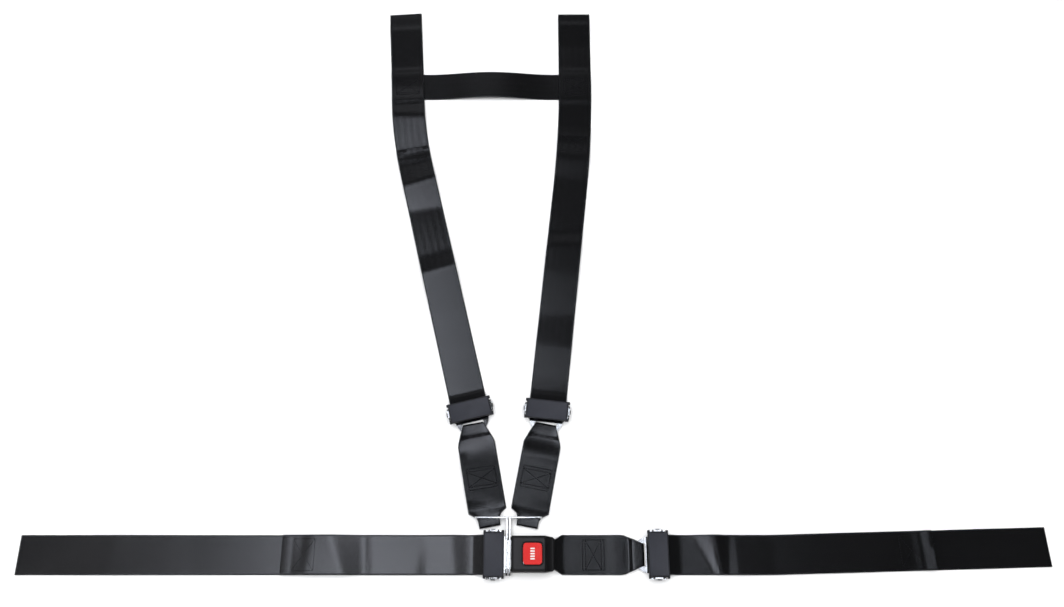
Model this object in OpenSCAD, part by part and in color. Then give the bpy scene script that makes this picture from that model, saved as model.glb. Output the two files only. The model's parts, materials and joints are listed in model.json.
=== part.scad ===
// Four-point harness with 2 inch webbing, laid out flat, with its underside at z = 0.
// X runs along the lap belt, Y towards the tops of the shoulder straps, Z up.
// The origin is the centre of the harness's outline, on the surface that it lies on.

/* [Webbing] */
// Width of the lap and shoulder webbing
web_w = 50.8; // [48:0.1:51]
// Thickness of the webbing
web_t = 1.4; // [1.2:0.1:1.5]
// Width of the cross strap
cross_w = 46; // [38:1:48]
// Length of the folded hem at the end of each tail
hem_l = 18; // [12:1:24]

/* [Layout] */
// Distance between the two free ends of the lap belt
lap_span = 1349; // [1300:1:1400]
// Distance from the lap adjusters' lower ends to the tops of the shoulder straps
overall_y = 881; // [860:1:900]
// Height of the cross strap's centre line
cross_y = 304; // [290:1:315]
// Lean of the left shoulder strap from the Y axis, in degrees
left_lean = 13.5; // [13:0.1:14]
// Lean of the right shoulder strap from the Y axis, in degrees
right_lean = 6.1; // [5.8:0.1:6.4]
// X of the outer end of the left lap belt's tail
left_tail_x = -330; // [-400:1:-250]
// X of the outer end of the right lap belt's tail
right_tail_x = 524; // [420:1:600]
// Y of the upper end of the left shoulder strap's tail
left_tail_y = 194; // [150:1:230]
// Y of the upper end of the right shoulder strap's tail
right_tail_y = 232; // [180:1:260]

/* [Adjusters] */
// Length of a grip across the webbing, over its ears
grip_w = 61; // [60:0.5:62]
// Size of a grip along the webbing
grip_l = 27; // [26:0.5:28]
// Thickness of an adjuster frame
frame_t = 2; // [1.8:0.1:2]
// Travel of the sliding bar and its grip
grip_travel = 2; // [1:0.5:2]

/* [Buckle] */
// Length of the buckle from mouth to rear end
buckle_l = 57; // [56:0.5:58]
// Width of the buckle
buckle_w = 45.5; // [45:0.5:47]
// Thickness of the buckle without its button
buckle_h = 21; // [20.5:0.5:22]
// Size of the button along X
button_l = 24; // [22:0.5:25]
// Size of the button along Y
button_w = 27; // [25:0.5:28]

/* [Hidden] */

$fn = 48;
eps = 0.01;                          // overlap of solids that are joined
layer_gap = 0.1;                     // space between two layers of webbing
web_y = [-web_w / 2, web_w / 2];     // the webbing across, as a range
web_mid = web_t / 2;                 // centre height of a layer that lies on the surface
tail_mid = web_t * 1.5 + layer_gap;  // centre height of the layer above it
// Heights of a tail's layer and of the hem on it, each from and to
tail_z = [web_t + layer_gap, 2 * web_t + layer_gap];
hem_z = [tail_z[1] - eps, tail_z[1] + web_t];
// Ranges of a block that cuts everything on one side of a plane
big = 2000;
all_x = [-big, big];
all_y = [-big, big];
all_z = [-1, 40];

webbing = [0.09, 0.09, 0.10];
chrome = [0.80, 0.81, 0.83];
steel = [0.55, 0.56, 0.58];
black_plastic = [0.13, 0.13, 0.14];
grip_plastic = [0.20, 0.21, 0.24];
button_red = [0.85, 0.10, 0.08];
thread = [0.04, 0.04, 0.05];

// Places on the layout
lap_y = -overall_y / 2 + 32.5;           // centre line of the lap belt
left_end_x = -lap_span / 2;
right_end_x = lap_span / 2;
top_y = overall_y / 2;
left_lap_at = [-52.2, lap_y];
right_lap_at = [162, lap_y];
left_shoulder_at = [-87.2, -216.5];
right_shoulder_at = [18.5, -216.5];
right_lap_bend_x = 310;                  // beyond it the right lap belt runs at an angle
right_lap_angle = 1.6;
strap_fold_u = 34;                       // where a lap strap folds, from its adjuster's centre
shoulder_fold_y = -177;                  // line where both shoulder straps fold
link_y = -361;                           // plane of the links' webbing wings
connector_fold_y = -340;                 // line where both shoulder connectors fold
lap_connector_fold_x = 44;               // line where the lap connector folds

// Shapes of the shoulder straps above the adjusters: [straight length, end lean, bend length]
left_run = [385, 4, 116];
right_run = [345, 0, 190];

// Cross strap: it runs between the centre lines of the shoulder straps, to near their outer edges
cross_from = -197;
cross_to = 65;
cross_inset = 4;                         // from their outer edges to its ends
cross_ramp = 7;                          // a shoulder strap comes down over this length beside it
cross_arch = 5;                          // rise of its middle
arch_l = 196;                            // length of the raised part

// Adjuster, in its own axes: u along the webbing away from the buckle, w across, z up
plate_z = 2.2;                           // underside of a frame's plate
flange_w = 31;                           // outer face of a flange, from the centre line
flange_t = 2;
flange_l = 15;
flange_top = 13.2;
plate_front = -9;                        // edges of the plate along u
plate_back = 10;
nose_r = 23.2;                           // radius of the round nose
nose_u = -9.8;                           // its centre
nose_start = -13;
slot_u = -18.75;                         // centre of the slot that takes the connector
slot_l = 6.5;
slot_w = 30;
bar_u = 0.5;                             // centre of the sliding bar
bar_l = 6;
bar_t = 3;
bar_z = 7.9;
bar_w = 65;
bar_play = 0.4;
loop_r = 2.5;                            // centre line radius of webbing round the bar
loop_u = bar_u - grip_travel - bar_l / 2 + 0.9;
bar_post_y = 27.2;                       // posts between the bar and the grip, outside the webbing
bar_post_t = 1.4;
grip_u = 0;
grip_z = 11.5;
grip_top = 14.6;
ear_l = 3.2;
ear_w = 1.9;
ear_in = 3;                              // length of an ear inside the grip
ear_drop = 3.2;

// Links between the tongue and the shoulder connectors
link_t = 2.2;
link_z = 1.8;
link_top = 12.6;
link_wing = 43.4;
link_slot_at = 24.7;                     // centre of the webbing slot, from the tongue wing
link_slot_w = 31;
link_slot_z = 4.6;
link_slot_h = 4.2;
link_low_y = -435;
left_link_x = -36.2;                     // left face of the left link's tongue wing
right_link_x = -32.4;                    // left face of the right link's tongue wing
left_loop_at = [-57.5, -373];            // end of the left connector's loop
right_loop_at = [-9, -373];

// Tongue and buckle
blade_z = 7.3;
blade_t = 2.2;
blade_w = 36;
blade_tip = 5;
blade_from = -37.3;
step_x = [-45, -39];                     // the tongue's plate steps up between these
window_x = [-6, -0.7];                   // window in the tongue, from and to
window_w = 20;
mouth_x = -29.6;
rear_x = mouth_x + buckle_l;
split_z = 10.4;                          // joint of the two covers
shell_t = 1.9;
mouth_w = 38;
mouth_z = [6.6, 11.2];                   // height of the opening for the tongue
base_z = 4.4;                            // underside of the buckle frame's plate
base_t = 2;
wall_in = 18.6;
wall_t = 1.6;
rear_slot_x = [16.5, 21.5];
rear_slot_w = 40;
button_x = -1.5;
button_gap = 0.6;
button_r = 4;
button_z = 13.6;
button_top = buckle_h + 0.8;
flange_z = [16.8, 19.1];                 // the button's flange, below the cover
flange_out = 1.4;
dish_r = 75;                             // hollow in the button's face
dish_depth = 0.6;
post_z = 10.1;                           // foot of the button's post, above the latch's hook
latch_z = 5.0;
latch_t = 1;
hook_x = [-4.5, -1.0];
hook_z = 9.9;
rivet_x = 11;
rivet_y = 8;
rivet_r = 1.5;
rivet_head_r = 2.6;
ejector_l = 3;
ejector_from = blade_tip + 0.4;
ejector_z = [6.8, 9.8];
spring_stop_x = 15.2;
screw_r = 1.15;
screw_head_r = 2.2;

// ---------- points and small helpers ----------

function unit(v) = v / norm(v);
function side(v) = [-v.y, v.x];
// Direction of a centre line at point i, as the mean of its two stretches
function heading(c, i) = let(n = len(c) - 1)
    unit((i > 0 ? unit(c[i] - c[i - 1]) : [0, 0]) + (i < n ? unit(c[i + 1] - c[i]) : [0, 0]));
// Outline of a band of width t along the centre line c
function band(c, t) = concat(
    [for (i = [0 : len(c) - 1]) c[i] + side(heading(c, i)) * t / 2],
    [for (i = [len(c) - 1 : -1 : 0]) c[i] - side(heading(c, i)) * t / 2]);
// Points on an arc
function arc(centre, r, from, to, n = 8) =
    [for (i = [0 : n]) let(a = from + (to - from) * i / n) centre + r * [cos(a), sin(a)]];
// The range of width w about c
function about(c, w) = [c - w / 2, c + w / 2];
// Centre line of a strap in plan: straight at one lean, a steady bend, then straight to height y_end
function run_line(at, lean, run, y_end) = let(
        steps = 12,
        dir = function(a) [-sin(a), cos(a)],
        piece = run[2] / steps,
        lean_at = function(i) lean + (run[1] - lean) * (i + 0.5) / steps,
        start = at + dir(lean) * run[0],
        bend = [for (i = 0, p = start; i <= steps; p = p + dir(lean_at(i)) * piece, i = i + 1) p],
        last = bend[steps],
        d = dir(run[1]))
    concat([at], bend, [last + d * (y_end - last.y) / d.y]);
// The stretch of a line of points up to height y
function below(c, y) = let(
        k = [for (i = [0 : len(c) - 1]) if (c[i].y < y) i],
        j = k[len(k) - 1],
        a = c[j],
        b = c[j + 1])
    concat([for (i = k) c[i]], [a + (b - a) * (y - a.y) / (b.y - a.y)]);

module at(p, angle) { translate([p.x, p.y, 0]) rotate([0, 0, angle]) children(); }

// A band of webbing: its side view runs along points of [u, z], and it is w wide
module ribbon(c, w, t = web_t) {
    rotate([90, 0, 0]) linear_extrude(height = w, center = true) polygon(band(c, t));
}

module slab(x, y, z) { translate([x[0], y[0], z[0]]) cube([x[1] - x[0], y[1] - y[0], z[1] - z[0]]); }

// A plate with round corners
module round_plate(l, w, h, r) { linear_extrude(height = h) round_shape(l, w, r); }

module round_shape(l, w, r) {
    square([l - 2 * r, w], center = true);
    square([l, w - 2 * r], center = true);
    for (x = [-1, 1], y = [-1, 1]) translate([x * (l / 2 - r), y * (w / 2 - r)]) circle(r);
}

// ---------- adjuster ----------

function plate_top() = plate_z + frame_t;

// Side view of a flange, with rounded upper corners
module flange_side() {
    r = 3;
    low = flange_top - r;
    translate([-flange_l / 2, plate_z]) square([flange_l, low - plate_z]);
    translate([-flange_l / 2 + r, plate_z]) square([flange_l - 2 * r, flange_top - plate_z]);
    for (x = [-1, 1]) translate([x * (flange_l / 2 - r), low]) circle(r);
}

// Both flanges, each with a slot that the bar slides in
module flanges() {
    for (s = [-1, 1]) translate([0, s * (flange_w - flange_t / 2), 0]) rotate([90, 0, 0])
        linear_extrude(height = flange_t, center = true) difference() {
            flange_side();
            translate([bar_u - grip_travel / 2, bar_z])
                round_shape(bar_l + grip_travel + bar_play, bar_t + bar_play, 1);
        }
}

module frame_plate() {
    lip_r = 1;
    slab([plate_front, plate_back], [-flange_w, flange_w], [plate_z, plate_top()]);
    // raised rear lip that the bar clamps the webbing against
    translate([plate_back - lip_r, 0, plate_top() - 0.6]) rotate([90, 0, 0])
        cylinder(r = lip_r, h = 2 * flange_w - 8, center = true);
}

// Plan of the round nose and of the shoulders that join it to the plate
module nose_shape() {
    root = plate_front + 0.1;
    neck = nose_r - 0.3;
    intersection() {
        translate([nose_u, 0]) circle(nose_r, $fn = 96);
        translate([-60, -40]) square([60 + plate_front, 80]);
    }
    polygon([[root, -flange_w], [root, flange_w], [nose_start, neck], [nose_start, -neck]]);
}

// Frame with a round nose and a slot for the connector
module adjuster_frame() {
    color(chrome) {
        difference() {
            union() {
                frame_plate();
                translate([0, 0, plate_z]) linear_extrude(height = frame_t) nose_shape();
            }
            translate([slot_u, 0, 0]) linear_extrude(height = 10) round_shape(slot_l, slot_w, 2.5);
        }
        flanges();
    }
}

// Grip: a textured cap over the sliding bar, with an ear at each corner round the flanges
module adjuster_grip() {
    body_w = grip_w - 2 * ear_w;
    ear_at = [(grip_l - ear_l) / 2, (body_w + ear_w - ear_in) / 2];
    ear_h = grip_top - grip_z + ear_drop - 0.5;
    color(grip_plastic) {
        translate([grip_u, 0, grip_z]) round_plate(grip_l, body_w - 0.4, grip_top - grip_z, 1.2);
        for (x = [-1, 1], y = [-1, 1])
            translate([grip_u + x * ear_at.x, y * ear_at.y, grip_z - ear_drop])
                linear_extrude(height = ear_h) square([ear_l, ear_w + ear_in], center = true);
    }
}

// Sliding bar with rounded edges, and the posts that carry the grip
module adjuster_bar() {
    color(steel) {
        translate([bar_u, 0, bar_z]) rotate([90, 0, 0])
            linear_extrude(height = bar_w, center = true) round_shape(bar_l - 0.2, bar_t, 1);
        for (s = [-1, 1]) slab(about(bar_u, 4), about(s * bar_post_y, bar_post_t), [bar_z, grip_z]);
    }
}

// Webbing round the sliding bar, from the tail down to the layer that lies on the surface
function loop_line(end_u) = let(
        over = bar_z + loop_r,
        under = bar_z - loop_r)
    concat(
        [[end_u, tail_mid], [29, tail_mid], [26, tail_mid + 0.4], [9, over - 0.5], [6, over]],
        arc([loop_u, bar_z], loop_r, 90, 270, 10),
        [[plate_back + 1, under], [plate_back + 3, under - 0.4], [22, web_mid + 0.4], [25, web_mid]],
        [[end_u, web_mid]]);

module strap_loop(end_u) { color(webbing) ribbon(loop_line(end_u), web_w); }

// ---------- straps ----------

// Two layers of a straight lap strap from the fold outwards, with a hem on the tail
module lap_strap(tail_u, end_u) {
    color(webbing) {
        slab([strap_fold_u, end_u], web_y, [0, web_t]);
        slab([strap_fold_u, tail_u], web_y, tail_z);
        slab([tail_u - hem_l, tail_u], web_y, hem_z);
    }
}

// Right lap strap: as the left one, with its outer part at a small angle
module right_lap_strap() {
    bend_u = right_lap_bend_x - right_lap_at.x;
    end_u = right_end_x - right_lap_at.x;
    tail_u = right_tail_x - right_lap_at.x;
    rise = function(u) (u - bend_u) * tan(right_lap_angle);
    plan = function(u) band([[strap_fold_u, 0], [bend_u, 0], [u, rise(u)]], web_w);
    color(webbing) {
        linear_extrude(height = web_t) polygon(plan(end_u));
        translate([0, 0, tail_z[0]]) linear_extrude(height = web_t) polygon(plan(tail_u));
        translate([tail_u, rise(tail_u), 0]) rotate([0, 0, right_lap_angle])
            slab([-hem_l, 0], web_y, hem_z);
    }
}

// A shoulder strap above the fold: both layers in plan, with a rise over the cross strap
module shoulder_strap(base, lean, run, tail_y, fold_y) {
    full = run_line(base, lean, run, top_y);
    half = cross_w / 2 + cross_ramp;
    last = full[len(full) - 1];
    turn = 90 + run[1];
    color(webbing) intersection() {
        union() {
            difference() {
                linear_extrude(height = web_t) polygon(band(full, web_w));
                slab(all_x, about(cross_y, 2 * half), all_z);
            }
            // the stretch that passes over the cross strap
            at(last, turn) intersection() {
                ribbon(rise_line((cross_y - last.y) / cos(run[1]), half), web_w);
                rotate([0, 0, -turn]) translate([-last.x, -last.y, 0])
                    slab(all_x, about(cross_y, 2 * (half + eps)), all_z);
            }
            translate([0, 0, tail_z[0]]) linear_extrude(height = web_t)
                polygon(band(below(full, tail_y), web_w));
            hem(full, tail_y);
        }
        slab(all_x, [fold_y, big], all_z);
    }
}

// Side view of a strap that lifts over the cross strap at u, within half a length of it
function rise_line(u, half) = let(
        high = tail_z[0] + web_mid,
        foot = half - 0.5,
        head = half - 4.5,
        out = half + 20)
    [[u - out, web_mid], [u - foot, web_mid], [u - head, high],
     [u + head, high], [u + foot, web_mid], [u + out, web_mid]];

// Folded end of a shoulder strap's tail
module hem(full, tail_y) {
    c = below(full, tail_y);
    n = len(c) - 1;
    d = unit(c[n] - c[n - 1]);
    at(c[n], atan2(d.y, d.x)) slab([-hem_l, 0], web_y, hem_z);
}

// The loop of a shoulder strap in its adjuster, cut off along the fold line
module shoulder_strap_loop(base, lean) {
    intersection() {
        at(base, 90 + lean) strap_loop(70);
        slab(all_x, [-big, shoulder_fold_y], all_z);
    }
}

module cross_strap() {
    reach = web_w / 2 - cross_inset;
    left = cross_from - reach;
    right = cross_to + reach;
    steps = 12;
    mid = (left + right) / 2;
    arch = [for (i = [0 : steps]) let(k = 2 * i / steps - 1)
        [mid + k * arch_l / 2, web_mid + cross_arch * (1 + cos(180 * k)) / 2]];
    color(webbing) translate([0, cross_y, 0])
        ribbon(concat([[left, web_mid]], arch, [[right, web_mid]]), cross_w);
}

// ---------- connectors ----------

// Side view of a connector's outer end, where it passes through the slot of an adjuster at u = l
function outer_end(l, last) = concat(
    [[l - 22, tail_mid], [l - 19, tail_mid + 0.3], [l - 14, 5.1], [l - 11, 5.3]],
    arc([l - 1.5, 3.0], 2.3, 90, -90, 8),
    [[last, web_mid]]);

// Side view of a shoulder connector of length l: a sewn loop from its link to its adjuster
function connector_line(l) = concat(
    [[l / 2, web_mid], [3.3, web_mid]],
    arc([3.3, 3.3], 2.6, 270, 90, 8),
    [[15, 5.9], [17, 5.5], [24.5, tail_mid + 0.3], [27, tail_mid]],
    outer_end(l, l / 2 + layer_gap));

// Plan of a connector: narrow where it passes through metal. Its inner end is given as [u, half width]
module connector_plan(l, inner_end) {
    n = 13.2;
    half = concat(inner_end, [[l - 26, web_w / 2], [l + 2.5, n], [l + 4, n]]);
    count = len(half);
    polygon(concat(half, [for (i = [count - 1 : -1 : 0]) [half[i].x, -half[i].y]]));
}

module connector(from, to) {
    v = to - from;
    l = norm(v);
    color(webbing) at(from, atan2(v.y, v.x)) intersection() {
        ribbon(connector_line(l), web_w + 1);
        linear_extrude(height = 20) connector_plan(l, [[-2, 12.5], [17, 13.25], [28, web_w / 2]]);
    }
}

// Centre of an adjuster's slot
function slot_point(base, lean) = base + slot_u * [-sin(lean), cos(lean)];

module left_whole_connector() { connector(left_loop_at, slot_point(left_shoulder_at, left_lean)); }
module right_whole_connector() { connector(right_loop_at, slot_point(right_shoulder_at, -right_lean)); }
module above_fold() {
    intersection() {
        children();
        slab(all_x, [connector_fold_y, big], all_z);
    }
}
module below_fold() {
    intersection() {
        children();
        slab(all_x, [-big, connector_fold_y], all_z);
    }
}

// Size of a sewn box
box_l = 28.5;
box_w = 38;

// Sewn box with a cross and a second row at two sides
module box_x() {
    t = 0.9;
    h = 0.4;
    row_in = 4;
    cross_size = [box_l - 2 * row_in - 1, box_w - 1.5];
    color(thread) linear_extrude(height = h) {
        difference() {
            square([box_l, box_w], center = true);
            square([box_l - 2 * t, box_w - 2 * t], center = true);
        }
        for (s = [-1, 1]) {
            translate([s * (box_l / 2 - row_in), 0]) square([t, box_w - t], center = true);
            rotate([0, 0, s * atan2(cross_size.y, cross_size.x)])
                square([norm(cross_size) - 1, t], center = true);
        }
    }
}

module connector_stitching(from, to) {
    v = to - from;
    share = 0.47;
    at(from + v * share, atan2(v.y, v.x)) translate([0, 0, tail_z[1]]) box_x();
}

// Side view of the lap connector, from the slot in the buckle's frame to the right lap adjuster
lap_connector_l = right_lap_at.x + slot_u;
function lap_connector_line() = concat(
    [[80, web_mid], [32, web_mid], [28, web_mid + 0.4], [25, 2.6], [22, 3.3]],
    arc([20.2, 5.4], 2.2, 270, 90, 8),
    [[24, 7.6], [27, 7.2], [37, tail_mid + 0.4], [40, tail_mid]],
    outer_end(lap_connector_l, 80 + layer_gap));

module lap_connector_whole() {
    color(webbing) translate([0, lap_y, 0]) intersection() {
        ribbon(lap_connector_line(), web_w + 1);
        linear_extrude(height = 20)
            connector_plan(lap_connector_l, [[10, 18.5], [27, 19], [37, web_w / 2]]);
    }
}

// ---------- links ----------

// Angle plate: one wing stands across the tongue, the other takes the webbing.
// s is -1 for a webbing wing to the left
module link(x, s) {
    play = 0.6;
    inner = s > 0 ? x : x + link_t;
    tip = inner + s * link_wing;
    link_z_range = [link_z, link_top];
    color(chrome) difference() {
        union() {
            slab([x, x + link_t], [link_low_y, link_y + link_t / 2], link_z_range);
            slab([min(inner, tip), max(inner, tip)], about(link_y, link_t), link_z_range);
        }
        slab([x - 1, x + link_t + 1], about(lap_y, blade_w + 2 * play),
            [blade_z - 0.5, blade_z + blade_t + 0.5]);
        translate([inner + s * link_slot_at, link_y, link_slot_z + link_slot_h / 2]) rotate([90, 0, 0])
            linear_extrude(height = 3 * link_t, center = true)
                round_shape(link_slot_w, link_slot_h, 1.5);
        // clipped upper corners at the free end of each wing
        translate([tip + 2 * s, link_y, link_top + 1]) rotate([0, 45, 0])
            cube([7, 10, 7], center = true);
        translate([x, link_low_y, link_top + 1]) rotate([45, 0, 0]) cube([10, 6, 6], center = true);
    }
}

// ---------- tongue ----------

// Side view of the plate that steps up from the adjuster to the blade
module tongue_step() {
    low = plate_z;
    polygon([[left_lap_at.x, low], [step_x[0], low], [step_x[1], blade_z], [blade_from + 0.1, blade_z],
        [blade_from + 0.1, blade_z + blade_t], [step_x[1] - 0.7, blade_z + blade_t],
        [step_x[0] - 0.7, low + frame_t], [left_lap_at.x, low + frame_t]]);
}

// Plan of the blade, with round front corners
module blade_shape() {
    r = 4;
    back = blade_tip - r;
    translate([blade_from, -blade_w / 2]) square([back - blade_from, blade_w]);
    translate([back, -blade_w / 2 + r]) square([r, blade_w - 2 * r]);
    for (s = [-1, 1]) translate([back, s * (blade_w / 2 - r)]) circle(r);
}

module tongue_frame() {
    color(chrome) {
        at(left_lap_at, 180) {
            frame_plate();
            flanges();
        }
        difference() {
            union() {
                translate([0, lap_y, 0]) rotate([90, 0, 0])
                    linear_extrude(height = blade_w + 10, center = true) tongue_step();
                translate([0, lap_y, blade_z]) linear_extrude(height = blade_t) blade_shape();
            }
            slab(window_x, about(lap_y, window_w), [blade_z - 1, blade_z + blade_t + 1]);
        }
    }
}

// ---------- buckle ----------

module at_buckle() { translate([(mouth_x + rear_x) / 2, lap_y, 0]) children(); }

// Outline of the housing in plan, a little narrower at its rear end
module housing_plan() {
    l = buckle_l / 2;
    w = buckle_w / 2;
    edge = [[-l, w - 2], [-l + 1.5, w], [l - 12, w], [l - 3, w - 1.5], [l, w - 4]];
    n = len(edge);
    polygon(concat(edge, [for (i = [n - 1 : -1 : 0]) [edge[i].x, -edge[i].y]]));
}

// Side view of the housing's upper face: flat panel, then a fall to the rear
module housing_side() {
    front = mouth_x - 1;
    back = rear_x + 1;
    polygon([[front, 0], [back, 0], [back, 14], [rear_x - 2, 16.5], [rear_x - 5, 16],
        [rear_x - 10, 18], [rear_x - 13, buckle_h], [mouth_x + 3, buckle_h],
        [mouth_x, buckle_h - 1.6], [front, buckle_h - 2.4]]);
}

module housing() {
    intersection() {
        at_buckle() linear_extrude(height = buckle_h) housing_plan();
        translate([0, lap_y, 0]) rotate([90, 0, 0])
            linear_extrude(height = buckle_w + 2, center = true) housing_side();
    }
}

module buckle_top_cover() {
    inside_y = about(lap_y, buckle_w - 2 * shell_t);
    gap = 2 * button_gap;
    color(black_plastic) difference() {
        housing();
        slab(all_x, all_y, [-1, split_z]);
        // hollow: lower towards the rear, where the outside falls
        slab([mouth_x + shell_t, rear_x - 9], inside_y, [split_z - 1, 16.2]);
        slab([mouth_x + shell_t, rear_x - 14], inside_y, [split_z - 1, 19.2]);
        translate([button_x, lap_y, split_z])
            round_plate(button_l + gap, button_w + gap, buckle_h, button_r + button_gap);
        // mouth, and the opening for the webbing at the rear
        slab([mouth_x - 1, mouth_x + 3], about(lap_y, mouth_w), [split_z - 1, mouth_z[1]]);
        slab([rear_x - 7, rear_x + 1], about(lap_y, 39.2), [split_z - 1, 12.4]);
    }
}

module buckle_bottom_cover() {
    floor_t = 1.8;
    inside_y = about(lap_y, buckle_w - 2 * shell_t);
    color(black_plastic) difference() {
        union() {
            difference() {
                housing();
                slab([mouth_x + shell_t, 15.5], inside_y, [floor_t, 20]);
            }
            // bosses for the screws
            for (p = screw_points())
                translate([p.x, p.y, floor_t - 0.1]) cylinder(r = 2.6, h = base_z - floor_t + 0.1);
        }
        slab(all_x, all_y, [split_z, 40]);
        // open at the rear, where the webbing goes round the frame
        slab([15, rear_x + 1], about(lap_y, 40), [-1, 20]);
        slab([15, rear_x - 3], about(lap_y, 43.2), [4.2, 20]);
        slab([mouth_x - 1, mouth_x + 3], about(lap_y, mouth_w), [mouth_z[0], 20]);
        for (p = screw_points()) translate([p.x, p.y, -1]) {
            cylinder(r = screw_r + 0.15, h = 10);
            cylinder(r = screw_head_r + 0.2, h = 2);
        }
    }
}

function screw_points() = [for (x = [12.5, -24.5], s = [-1, 1]) [x, lap_y + s * 14]];

// Screws from below, through the bottom cover into the frame
module buckle_screws() {
    color(steel) for (p = screw_points()) translate([p.x, p.y, 0.2]) difference() {
        union() {
            cylinder(r = screw_head_r, h = 0.8);
            cylinder(r = screw_r, h = 6);
        }
        // slot for a screwdriver
        translate([0, 0, -1.2]) cube([0.6, 3, 3.2], center = true);
    }
}

// Plate with side walls, a window for the latch, and a slot for the connector at the rear
module buckle_frame() {
    plate = [base_z, base_z + base_t];
    front = mouth_x + 2.4;
    color(steel) difference() {
        union() {
            slab([front, 15.2], about(lap_y, 2 * (wall_in + wall_t)), plate);
            slab([15.1, 24.2], about(lap_y, 42.4), plate);
            // stop for the ejector's spring
            slab([15.3, 16.3], about(lap_y, 8), [base_z, 10]);
            for (s = [-1, 1])
                slab([front, 12], about(lap_y + s * (wall_in + wall_t / 2), wall_t), [base_z, 15.4]);
        }
        slab([-7.5, 8], about(lap_y, 18), [0, 9]);
        slab(rear_slot_x, about(lap_y, rear_slot_w), [0, 9]);
        for (s = [-1, 1]) translate([rivet_x, lap_y + s * rivet_y, 0]) cylinder(r = rivet_r, h = 9);
        for (p = screw_points()) translate([p.x, p.y, 0]) cylinder(r = screw_r + 0.15, h = 9);
    }
}

// Spring steel leaf, riveted under the frame, with a hook that stands up through the tongue's window
module buckle_latch() {
    top = latch_z + latch_t;
    drop = latch_z - 1.7;
    color(steel) translate([0, lap_y, 0]) difference() {
        union() {
            slab([hook_x[0], 7], [-8, 8], [latch_z, top]);
            // step down to the fixed end, which lies under the plate
            rotate([90, 0, 0]) linear_extrude(height = 16, center = true)
                polygon([[5, latch_z], [7, drop], [14, drop], [14, drop + 1], [7.4, drop + 1],
                    [5.6, top], [5, top]]);
            rotate([90, 0, 0]) linear_extrude(height = 12, center = true)
                polygon([[hook_x[0], latch_z], [hook_x[1], latch_z], [hook_x[1], hook_z],
                    [hook_x[1] - 1.2, hook_z], [hook_x[0], 7.5]]);
        }
        for (s = [-1, 1]) translate([rivet_x, s * rivet_y, 0]) cylinder(r = rivet_r, h = 9);
    }
}

module buckle_rivets() {
    color(steel) for (s = [-1, 1]) translate([rivet_x, lap_y + s * rivet_y, 0]) {
        translate([0, 0, 2.5]) cylinder(r = rivet_r, h = 4.2);
        translate([0, 0, 2.3]) cylinder(r = rivet_head_r, h = 0.9);
        translate([0, 0, base_z + base_t]) cylinder(r = rivet_head_r, h = 0.7);
    }
}

// Button with a dished face and a post that pushes the latch's hook down
module buckle_button() {
    color(button_red) difference() {
        union() {
            translate([button_x, lap_y, button_z])
                round_plate(button_l, button_w, button_top - button_z, button_r);
            slab([hook_x[0] + 0.2, hook_x[1] - 0.2], about(lap_y, 8), [post_z, button_z + 1]);
            // flange that keeps the button in the cover
            slab(about(button_x, button_l + 2 * flange_out), about(lap_y, button_w - 10), flange_z);
        }
        translate([button_x, lap_y, button_top - dish_depth + dish_r]) sphere(r = dish_r, $fn = 96);
    }
}

// Slider that pushes the tongue out
module buckle_ejector() {
    color(black_plastic) {
        slab([ejector_from, ejector_from + ejector_l], about(lap_y, 13), ejector_z);
        // pin inside the spring
        translate([blade_tip + ejector_l, lap_y, 8.3]) rotate([0, 90, 0]) cylinder(r = 0.8, h = 2.6);
    }
}

// Coil spring behind the ejector, as turns of round wire
module buckle_ejector_spring() {
    turns = 4;
    wire_r = 0.3;
    from = ejector_from + ejector_l + 0.35;
    pitch = (spring_stop_x - 0.35 - from) / (turns - 1);
    color(steel) for (i = [0 : turns - 1])
        translate([from + i * pitch, lap_y, 8.3]) rotate([0, 90, 0])
            rotate_extrude() translate([1.35, 0]) circle(wire_r, $fn = 6);
}

// ---------- nodes ----------

module on_left_lap() { at(left_lap_at, 180) children(); }
module on_right_lap() { at(right_lap_at, 0) children(); }
module on_left_shoulder() { at(left_shoulder_at, 90 + left_lean) children(); }
module on_right_shoulder() { at(right_shoulder_at, 90 - right_lean) children(); }

tongue_frame();
on_left_lap() adjuster_grip();  // left_lap_grip
on_left_lap() adjuster_bar();  // left_lap_bar
on_left_lap() strap_loop(strap_fold_u);  // left_lap_strap_loop
on_left_lap() lap_strap(left_lap_at.x - left_tail_x, left_lap_at.x - left_end_x);  // left_lap_strap
link(left_link_x, -1);  // left_link
link(right_link_x, 1);  // right_link
below_fold() left_whole_connector();  // left_connector_loop
below_fold() right_whole_connector();  // right_connector_loop
above_fold() left_whole_connector();  // left_connector
above_fold() right_whole_connector();  // right_connector
connector_stitching(left_loop_at, slot_point(left_shoulder_at, left_lean));  // left_connector_stitching
connector_stitching(right_loop_at, slot_point(right_shoulder_at, -right_lean));  // right_connector_stitching
on_left_shoulder() adjuster_frame();  // left_shoulder_frame
on_left_shoulder() adjuster_grip();  // left_shoulder_grip
on_left_shoulder() adjuster_bar();  // left_shoulder_bar
shoulder_strap_loop(left_shoulder_at, left_lean);  // left_shoulder_strap_loop
on_right_shoulder() adjuster_frame();  // right_shoulder_frame
on_right_shoulder() adjuster_grip();  // right_shoulder_grip
on_right_shoulder() adjuster_bar();  // right_shoulder_bar
shoulder_strap_loop(right_shoulder_at, -right_lean);  // right_shoulder_strap_loop
shoulder_strap(left_shoulder_at, left_lean, left_run, left_tail_y, shoulder_fold_y);  // left_shoulder_strap
shoulder_strap(right_shoulder_at, -right_lean, right_run, right_tail_y, shoulder_fold_y);  // right_shoulder_strap
cross_strap();
buckle_top_cover();
buckle_bottom_cover();
buckle_frame();
buckle_latch();
buckle_rivets();
buckle_screws();
buckle_button();
buckle_ejector();
buckle_ejector_spring();
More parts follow.
